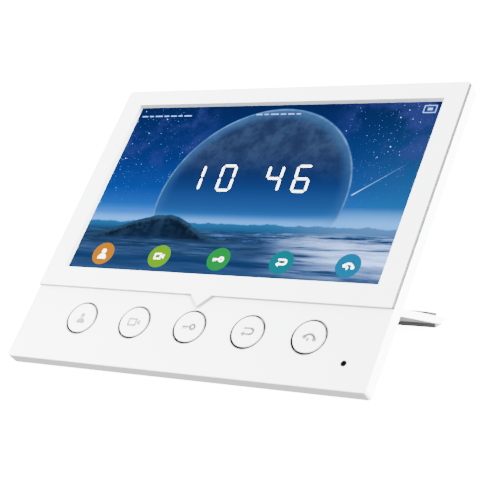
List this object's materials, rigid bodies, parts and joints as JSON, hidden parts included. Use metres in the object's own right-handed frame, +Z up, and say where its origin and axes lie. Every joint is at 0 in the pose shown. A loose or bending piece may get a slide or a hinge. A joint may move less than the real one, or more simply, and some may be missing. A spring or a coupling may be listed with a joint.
{
  "type": "video intercom monitor",
  "caption": "White desk-standing video intercom monitor with a wide colour screen, a row of round keys and a folding stand.",
  "frame": {"origin": "centre of the footprint's bounding box, on the table", "axes": "+X to the right as the user faces the screen, +Y to the back, +Z up; the screen faces -Y and up"},
  "size_m": [0.174, 0.109, 0.0998],
  "materials": {
    "white_plastic": "fine satin",
    "key_plastic": "fine satin",
    "plunger_plastic": "moulded",
    "switch_metal": "plated",
    "display_glass": "polished",
    "foam_rubber": "soft foam",
    "panel_plastic": "moulded",
    "plated_sheet": "pressed",
    "circuit_board": "lacquered",
    "screw_steel": "zinc plated",
    "pin_steel": "ground",
    "insert_brass": "knurled",
    "black_plastic": "moulded",
    "can_aluminium": "drawn",
    "green_plastic": "moulded",
    "ribbon_plastic": "film",
    "driver_metal": "pressed",
    "bracket_metal": "powder coated",
    "foot_rubber": "moulded"
  },
  "bodies": {
    "station": {"bezel_plate": "white_plastic", "board_screws": "screw_steel", "board_shield": "plated_sheet", "bracket_screws": "screw_steel", "capacitor_inner": "can_aluminium", "capacitor_outer": "can_aluminium", "cover_screws": "screw_steel", "display_gasket": "foam_rubber", "display_ribbon": "ribbon_plastic", "front_shell": "white_plastic", "hinge_pin_left": "pin_steel", "hinge_pin_right": "pin_steel", "key_board": "circuit_board", "key_ribbon": "ribbon_plastic", "lcd_frame": "plated_sheet", "lcd_module": "panel_plastic", "main_board": "circuit_board", "memory_chip": "black_plastic", "microphone": "driver_metal", "microphone_boot": "foam_rubber", "network_jack": "black_plastic", "power_chip": "black_plastic", "processor_chip": "black_plastic", "rear_cover": "white_plastic", "screen_glass": "display_glass", "speaker": "driver_metal", "speaker_gasket": "foam_rubber", "stand_bracket": "bracket_metal", "switch_contact": "switch_metal", "switch_monitor": "switch_metal", "switch_return": "switch_metal", "switch_talk": "switch_metal", "switch_unlock": "switch_metal", "terminal_block": "green_plastic", "wall_insert_left": "insert_brass", "wall_insert_right": "insert_brass"},
    "leg": {"stand_leg": "white_plastic", "leg_foot_strip": "foot_rubber", "leg_pad_left": "foot_rubber", "leg_pad_right": "foot_rubber"},
    "button_contact": {"key_contact": "key_plastic", "plunger_contact": "plunger_plastic"},
    "button_monitor": {"key_monitor": "key_plastic", "plunger_monitor": "plunger_plastic"},
    "button_unlock": {"key_unlock": "key_plastic", "plunger_unlock": "plunger_plastic"},
    "button_return": {"key_return": "key_plastic", "plunger_return": "plunger_plastic"},
    "button_talk": {"key_talk": "key_plastic", "plunger_talk": "plunger_plastic"}
  },
  "joints": [
    {"name": "leg_fold", "type": "hinge", "parent": "station", "child": "leg", "pos_m": [0, -0.00147, 0.0184], "axis": [1, 0, 0], "range_deg": [-116, 0]},
    {"name": "press_contact", "type": "slide", "parent": "station", "child": "button_contact", "axis": [0, 0.6691, -0.7431], "range_m": [0, 0.0005], "stiffness_N_per_m": 800, "springref_m": -0.0002},
    {"name": "press_monitor", "type": "slide", "parent": "station", "child": "button_monitor", "axis": [0, 0.6691, -0.7431], "range_m": [0, 0.0005], "stiffness_N_per_m": 800, "springref_m": -0.0002},
    {"name": "press_unlock", "type": "slide", "parent": "station", "child": "button_unlock", "axis": [0, 0.6691, -0.7431], "range_m": [0, 0.0005], "stiffness_N_per_m": 800, "springref_m": -0.0002},
    {"name": "press_return", "type": "slide", "parent": "station", "child": "button_return", "axis": [0, 0.6691, -0.7431], "range_m": [0, 0.0005], "stiffness_N_per_m": 800, "springref_m": -0.0002},
    {"name": "press_talk", "type": "slide", "parent": "station", "child": "button_talk", "axis": [0, 0.6691, -0.7431], "range_m": [0, 0.0005], "stiffness_N_per_m": 800, "springref_m": -0.0002}
  ]
}
